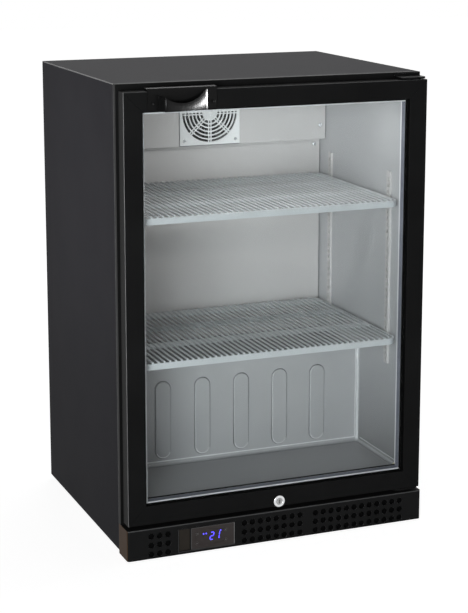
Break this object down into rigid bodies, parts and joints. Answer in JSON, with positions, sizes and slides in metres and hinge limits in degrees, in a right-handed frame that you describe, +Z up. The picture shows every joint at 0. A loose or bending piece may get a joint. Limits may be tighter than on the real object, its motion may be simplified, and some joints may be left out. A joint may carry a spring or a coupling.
{
  "type": "glass_door_bar_fridge",
  "caption": "Black under-counter bar fridge with one hinged double-glazed door, a cup pull, a door lock, wire shelves, a perforated plinth and a digital controller.",
  "frame": {"origin": "Middle of the overall footprint, on the floor under the levelling feet.", "axes": "X to the right seen from the front, Y to the back, Z up; the door faces -Y."},
  "size_m": [0.6, 0.531, 0.87],
  "materials": {
    "black_paint": "satin black powder coat",
    "door_black": "satin black coated aluminium profile",
    "galvanised": "plain galvanised sheet",
    "stainless": "brushed stainless",
    "foam": null,
    "black_plastic": "matt black",
    "black_gloss": "glossy black",
    "display": "dark display window",
    "lit_blue": "lit blue-violet",
    "rubber": "black rubber",
    "glass": "clear float glass",
    "aluminium": "plain aluminium",
    "coated_wire": "pale grey coated wire",
    "chrome": "polished chrome",
    "steel": "plain steel",
    "lamp": "white diffuser",
    "foot_black": "black pad and stud"
  },
  "bodies": {
    "cabinet": {"base_pan": "galvanised", "bay_panel": "galvanised", "bottom_hinge_bracket": "black_paint", "cabinet_screws": "steel", "compressor": "black_paint", "compressor_mounts": "rubber", "condenser_coil": "aluminium", "condenser_fan_motor": "black_plastic", "condenser_fan_shroud": "galvanised", "controller_bezel": "black_gloss", "display_digits": "lit_blue", "display_lens": "display", "drain_tube": "black_plastic", "drip_tray": "black_plastic", "duct_panel": "stainless", "evaporator_coil": "aluminium", "evaporator_cover": "stainless", "evaporator_fan_frame": "black_plastic", "fan_guard": "black_plastic", "front_frame": "black_plastic", "inner_liner": "stainless", "insulation_foam": "foam", "interior_lamp": "lamp", "plinth_grille": "black_paint", "power_inlet": "black_plastic", "rear_panel": "galvanised", "rear_vent_cover": "black_paint", "shelf_clips": "stainless", "shelf_strips": "stainless", "side_panel_left": "black_paint", "side_panel_right": "black_paint", "top_hinge_bracket": "black_paint", "top_panel": "black_paint"},
    "door": {"door_rail_top": "door_black", "door_rail_bottom": "door_black", "door_stile_left": "door_black", "door_stile_right": "door_black", "outer_glass": "glass", "inner_glass": "glass", "glass_spacer": "aluminium", "door_gasket": "rubber", "door_handle": "black_gloss", "handle_screws": "steel", "lock_barrel": "chrome", "hinge_bushes": "black_plastic"},
    "lock": {"lock_plug": "chrome", "lock_cam": "steel"},
    "evaporator_fan": {"evaporator_fan_blade": "black_plastic"},
    "condenser_fan": {"condenser_fan_blade": "black_plastic"},
    "rocker": {"rocker_switch": "black_gloss"},
    "lower_shelf": {"shelf_lower": "coated_wire"},
    "upper_shelf": {"shelf_upper": "coated_wire"},
    "key_1": {"button_1": "display"},
    "foot_1": {"levelling_foot_1": "foot_black"},
    "key_2": {"button_2": "display"},
    "foot_2": {"levelling_foot_2": "foot_black"},
    "key_3": {"button_3": "display"},
    "foot_3": {"levelling_foot_3": "foot_black"},
    "key_4": {"button_4": "display"},
    "foot_4": {"levelling_foot_4": "foot_black"}
  },
  "joints": [
    {"name": "door_hinge", "type": "hinge", "parent": "cabinet", "child": "door", "pos_m": [0.287, -0.2216, 0.0665], "axis": [0, 0, 1], "range_deg": [0, 110]},
    {"name": "lock_turn", "type": "hinge", "parent": "door", "child": "lock", "pos_m": [0, -0.2376, 0.0775], "axis": [0, -1, 0], "range_deg": [0, 90]},
    {"name": "evaporator_fan_spin", "type": "hinge", "parent": "cabinet", "child": "evaporator_fan", "pos_m": [0.008, 0.1516, 0.7665], "axis": [0, 1, 0], "continuous": true},
    {"name": "condenser_fan_spin", "type": "hinge", "parent": "cabinet", "child": "condenser_fan", "pos_m": [-0.167, 0.1359, 0.113], "axis": [1, 0, 0], "continuous": true},
    {"name": "rocker_tilt", "type": "hinge", "parent": "cabinet", "child": "rocker", "pos_m": [-0.1896, -0.2371, 0.028], "axis": [1, 0, 0], "range_deg": [-5, 5]},
    {"name": "lower_shelf_lift", "type": "slide", "parent": "cabinet", "child": "lower_shelf", "axis": [0, 0, 1], "range_m": [0, 0.012]},
    {"name": "upper_shelf_lift", "type": "slide", "parent": "cabinet", "child": "upper_shelf", "axis": [0, 0, 1], "range_m": [0, 0.012]},
    {"name": "key_1_press", "type": "slide", "parent": "cabinet", "child": "key_1", "axis": [0, 1, 0], "range_m": [0, 0.0005], "stiffness_N_per_m": 200},
    {"name": "key_2_press", "type": "slide", "parent": "cabinet", "child": "key_2", "axis": [0, 1, 0], "range_m": [0, 0.0005], "stiffness_N_per_m": 200},
    {"name": "key_3_press", "type": "slide", "parent": "cabinet", "child": "key_3", "axis": [0, 1, 0], "range_m": [0, 0.0005], "stiffness_N_per_m": 200},
    {"name": "key_4_press", "type": "slide", "parent": "cabinet", "child": "key_4", "axis": [0, 1, 0], "range_m": [0, 0.0005], "stiffness_N_per_m": 200},
    {"name": "foot_1_turn", "type": "hinge", "parent": "cabinet", "child": "foot_1", "pos_m": [-0.255, -0.1466, 0], "axis": [0, 0, 1], "continuous": true},
    {"name": "foot_2_turn", "type": "hinge", "parent": "cabinet", "child": "foot_2", "pos_m": [0.255, -0.1466, 0], "axis": [0, 0, 1], "continuous": true},
    {"name": "foot_3_turn", "type": "hinge", "parent": "cabinet", "child": "foot_3", "pos_m": [-0.255, 0.2184, 0], "axis": [0, 0, 1], "continuous": true},
    {"name": "foot_4_turn", "type": "hinge", "parent": "cabinet", "child": "foot_4", "pos_m": [0.255, 0.2184, 0], "axis": [0, 0, 1], "continuous": true}
  ]
}
